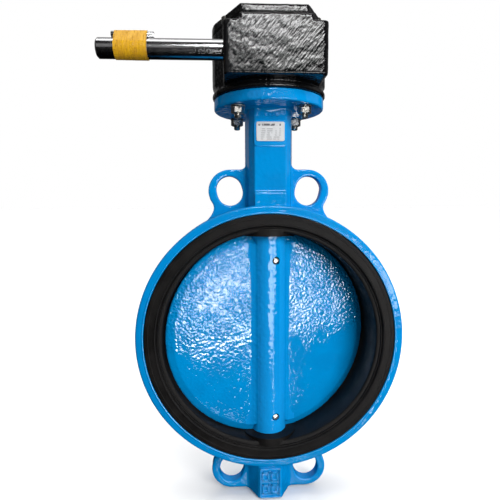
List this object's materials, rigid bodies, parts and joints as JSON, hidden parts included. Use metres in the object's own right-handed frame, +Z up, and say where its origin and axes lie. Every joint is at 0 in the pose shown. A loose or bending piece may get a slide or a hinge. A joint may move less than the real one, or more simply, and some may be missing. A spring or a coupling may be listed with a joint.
{
  "type": "butterfly valve",
  "caption": "Wafer butterfly valve with a rubber-lined ring body, pinned turning disc, long neck and a worm gear operator on top with a bare input shaft to the left.",
  "frame": {"origin": "middle of the flat lower face of the bottom boss, on the stem axis", "axes": "+Z up the stem axis, Y along the pipe axis with the worm on the -Y side, input shaft pointing to -X"},
  "size_m": [0.3328, 0.166, 0.5593],
  "materials": {
    "valve_paint": "glossy azure blue epoxy over cast iron",
    "seat_rubber": "satin charcoal EPDM",
    "operator_paint": "glossy black enamel over rough casting",
    "shaft_steel": "turned bright steel",
    "stem_steel": "ground stainless steel",
    "zinc_steel": "zinc plated steel",
    "gear_bronze": "machined bronze",
    "seal_rubber": "matt black nitrile",
    "bush_polymer": "filled polymer",
    "label_plate": null,
    "tape_yellow": "wrinkled yellow adhesive tape",
    "indicator_red": "moulded red plastic"
  },
  "bodies": {
    "valve": {"body": "valve_paint", "seat_liner": "seat_rubber", "lower_bush": "bush_polymer", "middle_bush": "bush_polymer", "top_bush": "bush_polymer", "lower_stem_seal": "seal_rubber", "upper_stem_seal": "seal_rubber", "top_stem_seal": "seal_rubber", "bottom_plug": "zinc_steel", "label_plate": "label_plate", "gear_case": "operator_paint", "gear_cover": "operator_paint", "cover_gasket": "seal_rubber", "cover_screw_1": "zinc_steel", "cover_screw_2": "zinc_steel", "cover_screw_3": "zinc_steel", "cover_screw_4": "zinc_steel", "shaft_seal": "seal_rubber", "worm_bearing_inner": "gear_bronze", "worm_bearing_outer": "gear_bronze", "worm_end_cap": "operator_paint", "stop_screw_open": "zinc_steel", "stop_screw_closed": "zinc_steel", "stop_nut_open": "zinc_steel", "stop_nut_closed": "zinc_steel", "stud_front_left": "zinc_steel", "stud_front_right": "zinc_steel", "stud_back_left": "zinc_steel", "stud_back_right": "zinc_steel", "washer_front_left": "zinc_steel", "washer_front_right": "zinc_steel", "washer_back_left": "zinc_steel", "washer_back_right": "zinc_steel", "nut_front_left": "zinc_steel", "nut_front_right": "zinc_steel", "nut_back_left": "zinc_steel", "nut_back_right": "zinc_steel"},
    "disc_and_stem": {"disc": "valve_paint", "upper_stem": "stem_steel", "lower_stem": "stem_steel", "stem_key": "stem_steel", "taper_pin_upper": "zinc_steel", "taper_pin_lower": "zinc_steel", "worm_wheel": "gear_bronze", "position_indicator": "indicator_red", "indicator_screw": "zinc_steel"},
    "input_drive": {"worm": "stem_steel", "input_shaft": "shaft_steel", "worm_pin": "shaft_steel", "handwheel_pin": "stem_steel", "tape": "tape_yellow"}
  },
  "joints": [
    {"name": "disc_turn", "type": "hinge", "parent": "valve", "child": "disc_and_stem", "pos_m": [0, 0, 0.198], "axis": [0, 0, 1], "range_deg": [-11, 79]},
    {"name": "input_turn", "type": "hinge", "parent": "valve", "child": "input_drive", "pos_m": [0, -0.055, 0.51], "axis": [1, 0, 0], "range_deg": [-2370, 330]}
  ],
  "couplings": [
    {"joint": "input_turn", "follows": "disc_turn", "ratio": -30}
  ]
}
